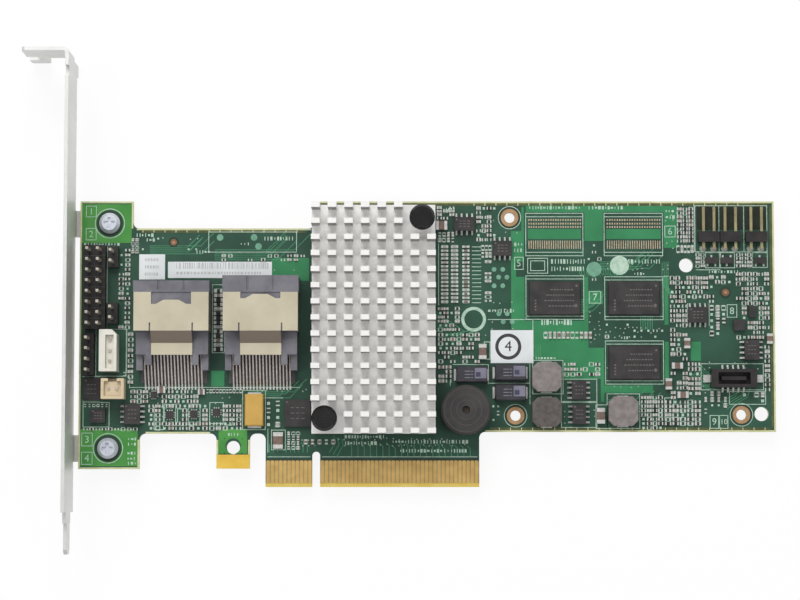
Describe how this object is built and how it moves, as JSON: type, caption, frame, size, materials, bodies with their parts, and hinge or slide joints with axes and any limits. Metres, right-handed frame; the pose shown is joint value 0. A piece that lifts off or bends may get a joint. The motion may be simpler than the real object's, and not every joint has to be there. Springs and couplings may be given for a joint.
{
  "type": "raid controller card",
  "caption": "Storage controller card on a full-height slot bracket, with a cross-cut heatsink, two internal cable ports and an edge connector.",
  "frame": {"origin": "centre of the key notch at the tips of the edge contacts, half way through the board", "axes": "+X from the bracket to the far end, +Y from the card edge to the top edge, +Z out of the component side"},
  "size_m": [0.1802, 0.12, 0.0193],
  "materials": {
    "solder_mask_board": "green solder mask over fibreglass laminate, satin gloss",
    "contact_gold": "gold-plated copper, bright",
    "bracket_steel": "nickel-plated mild steel, satin",
    "screw_steel": "zinc-plated steel, bright",
    "sink_aluminium": "extruded and cross-cut, bright satin",
    "processor_package": "moulded chip package, matt",
    "thermal_pad": "soft silicone pad, matt",
    "push_pin_nylon": "moulded black nylon, satin",
    "port_housing": "moulded grey liquid-crystal polymer, matt",
    "port_shell": "warm nickel-plated sheet, satin",
    "lead_tin": "tin-plated copper, dull bright",
    "header_black": "moulded black polymer, matt",
    "header_pin": "plated square pins, bright",
    "connector_white": "moulded natural nylon, satin",
    "socket_beige": "moulded beige nylon, satin",
    "sounder_black": "moulded black case, matt",
    "ferrite_grey": "pressed grey ferrite, matt",
    "choke_black": "moulded dark composite, matt",
    "capacitor_black": "moulded case, satin",
    "capacitor_amber": "moulded amber case, satin",
    "ceramic_brown": "fired ceramic body, satin",
    "chip_black": "moulded epoxy package, matt",
    "label_paper": "coated paper label, matt"
  },
  "bodies": {
    "root": {"circuit_board": "solder_mask_board", "edge_contacts": "contact_gold", "retention_pad": "contact_gold", "mounting_bracket": "bracket_steel", "bracket_screws": "screw_steel", "raid_processor": "processor_package", "thermal_pad": "thermal_pad", "heatsink": "sink_aluminium", "push_pins": "push_pin_nylon", "sas_housing_1": "port_housing", "sas_shell_1": "port_shell", "sas_contacts_1": "lead_tin", "sas_housing_2": "port_housing", "sas_shell_2": "port_shell", "sas_contacts_2": "lead_tin", "jumper_header_body": "header_black", "jumper_header_pins": "header_pin", "small_header_bodies": "header_black", "small_header_pins": "header_pin", "fan_connector": "connector_white", "fan_connector_pins": "lead_tin", "battery_sense_socket": "socket_beige", "battery_sense_pins": "lead_tin", "activity_header_bodies": "header_black", "activity_header_pins": "header_pin", "battery_connector": "header_black", "battery_connector_leads": "lead_tin", "sounder": "sounder_black", "ferrite_chokes": "ferrite_grey", "moulded_choke": "choke_black", "bulk_capacitors": "capacitor_black", "amber_capacitor": "capacitor_amber", "memory_chips": "chip_black", "outline_chips": "chip_black", "outline_chip_leads": "lead_tin", "flat_chips": "chip_black", "regulators": "chip_black", "regulator_leads": "lead_tin", "ceramic_capacitors": "ceramic_brown", "paper_labels": "label_paper"}
  },
  "joints": []
}
